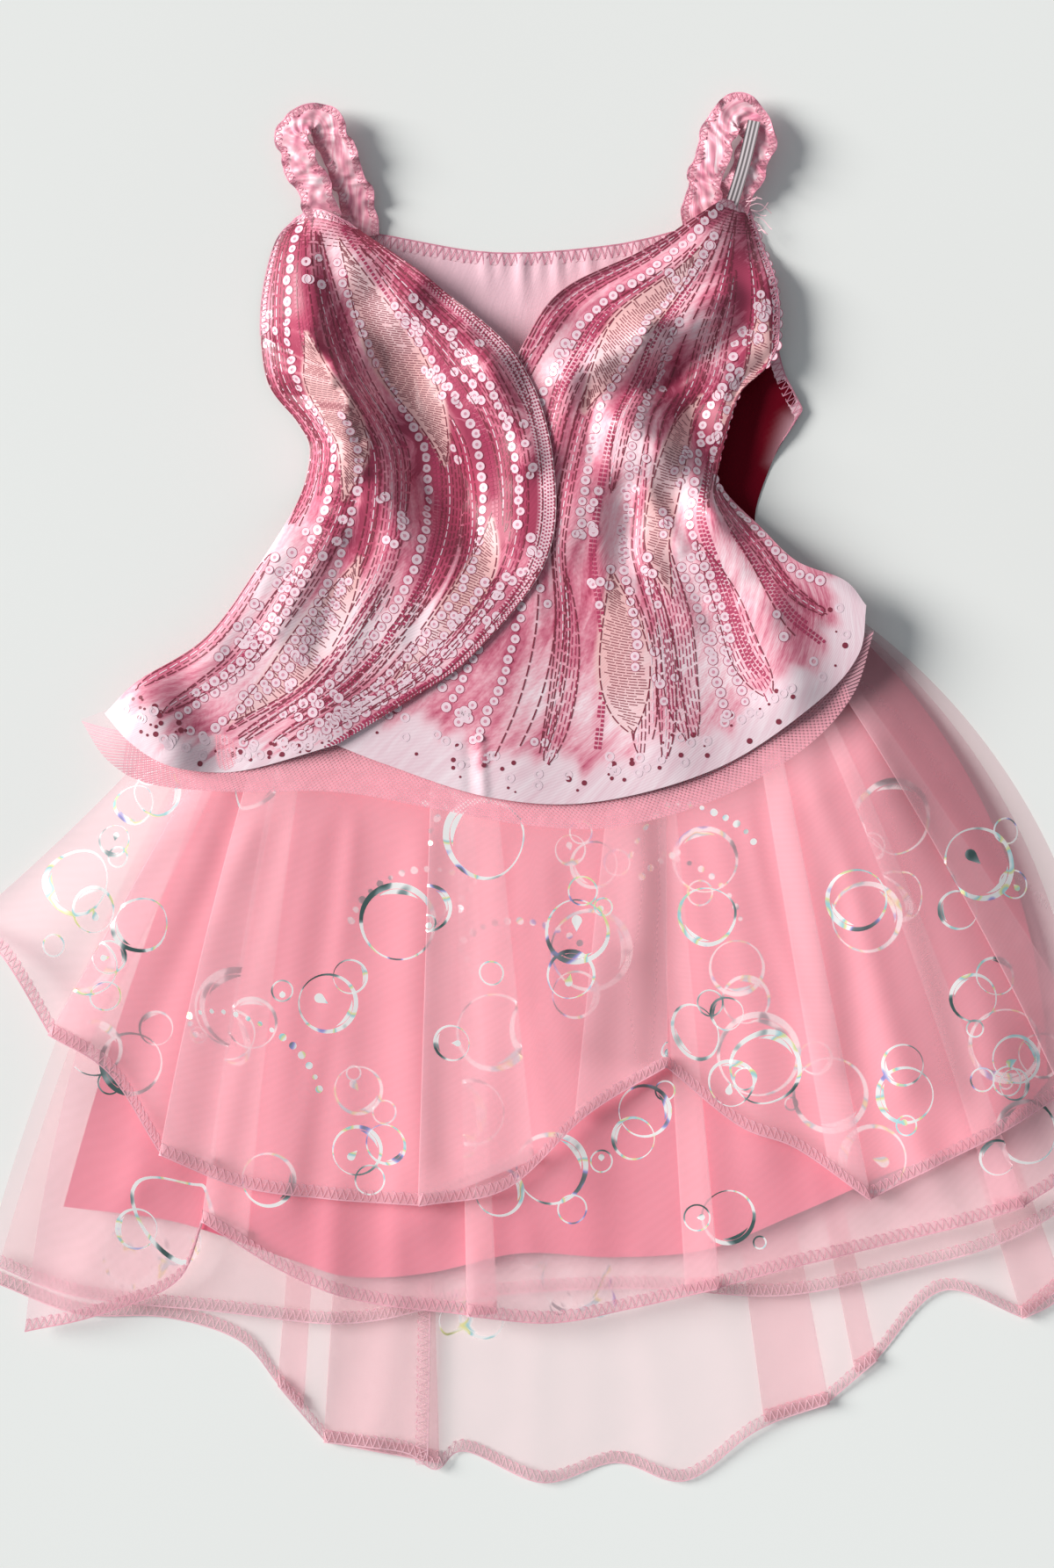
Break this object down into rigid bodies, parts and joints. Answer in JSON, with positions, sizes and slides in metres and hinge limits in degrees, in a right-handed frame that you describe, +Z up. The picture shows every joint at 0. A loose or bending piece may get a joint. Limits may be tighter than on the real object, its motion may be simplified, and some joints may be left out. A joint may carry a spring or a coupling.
{
  "type": "costume dress",
  "caption": "Child's sleeveless costume dress laid flat, face up: wrap bodice with peplum and net flounce over layered sheer skirts with a longer back.",
  "frame": {"origin": "on the table under the middle of the dress's bounding box", "axes": "+Y from the hem to the neck, +Z up out of the table through the front of the dress, +X to the viewer's right as seen from above"},
  "size_m": [0.5862, 0.7127, 0.0304],
  "materials": {
    "printed_satin": "printed polyester satin, soft sheen",
    "plain_satin": "plain polyester satin, soft sheen",
    "lining": "plain woven polyester lining, matt",
    "organza": "sheer organza with foil rings",
    "pale_organza": "sheer pale organza",
    "net": "stiff open net",
    "strap_satin": "gathered satin with overlocked edges",
    "elastic": "ribbed elastic tape, matt"
  },
  "bodies": {
    "root": {"back_panel": "plain_satin", "back_skirt_long": "pale_organza", "back_skirt_middle": "pale_organza", "lining_back": "lining", "lining_front": "lining", "middle_skirt_front": "organza", "top_skirt_front": "organza", "net_flounce": "net", "front_right": "printed_satin", "front_wrap": "printed_satin", "strap_left": "strap_satin", "strap_right": "strap_satin", "strap_elastic": "elastic"}
  },
  "joints": []
}
